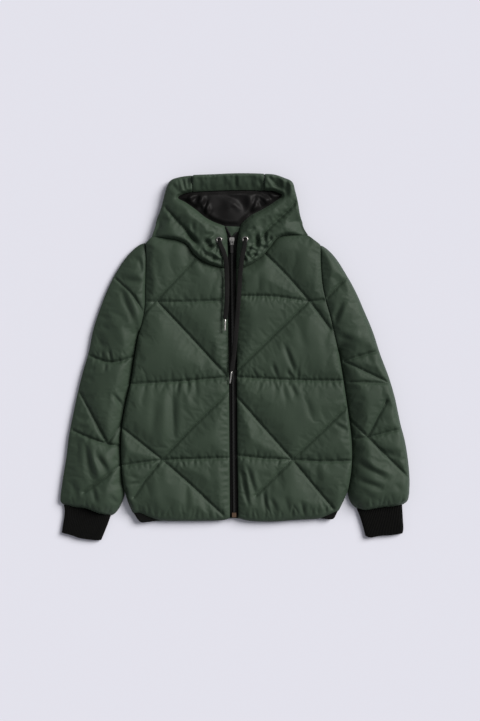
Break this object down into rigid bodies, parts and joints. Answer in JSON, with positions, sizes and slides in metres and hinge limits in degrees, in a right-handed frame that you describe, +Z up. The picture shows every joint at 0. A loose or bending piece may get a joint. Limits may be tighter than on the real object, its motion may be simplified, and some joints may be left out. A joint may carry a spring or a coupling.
{
  "type": "quilted jacket",
  "caption": "Hooded padded jacket with stitched quilting, rib cuffs, a closed front zip and a hood drawcord, lying flat on its back",
  "frame": {"origin": "On the surface that the jacket lies on, under the middle of its outline", "axes": "+X to the wearer's left, +Y from hem to hood, +Z up from the surface"},
  "size_m": [0.8355, 0.8782, 0.0429],
  "materials": {
    "shell": "dark green woven polyester with a soft sheen",
    "rib_knit": "matte black rib knit",
    "lining": "dark satin lining",
    "zip_tape": "black woven tape",
    "cord": "flat black braid",
    "silver_metal": "polished nickel plate",
    "bronze_metal": "dark bronze plate"
  },
  "bodies": {
    "garment": {"back": "shell", "front_right": "shell", "front_left": "shell", "sleeve_right": "shell", "sleeve_left": "shell", "cuff_right": "rib_knit", "cuff_left": "rib_knit", "hood_side_right": "shell", "hood_side_left": "shell", "hood_centre": "shell", "hood_lining": "lining", "wind_guard": "shell", "hem_facing_right": "lining", "hem_facing_left": "lining", "zip_tape_right": "zip_tape", "zip_tape_left": "zip_tape", "zip_slider": "silver_metal", "zip_bottom_box": "bronze_metal", "eyelet_right": "silver_metal", "eyelet_left": "silver_metal", "drawcord_right": "cord", "cord_tip_right": "silver_metal", "drawcord_left": "cord", "cord_tip_left": "silver_metal"},
    "zip_pull": {"zip_pull_tab": "silver_metal"}
  },
  "joints": [
    {"name": "pull_tab_hinge", "type": "hinge", "parent": "garment", "child": "zip_pull", "pos_m": [-0.0074, 0.278, 0.0243], "axis": [-1, 0, 0], "range_deg": [0, 150]}
  ]
}
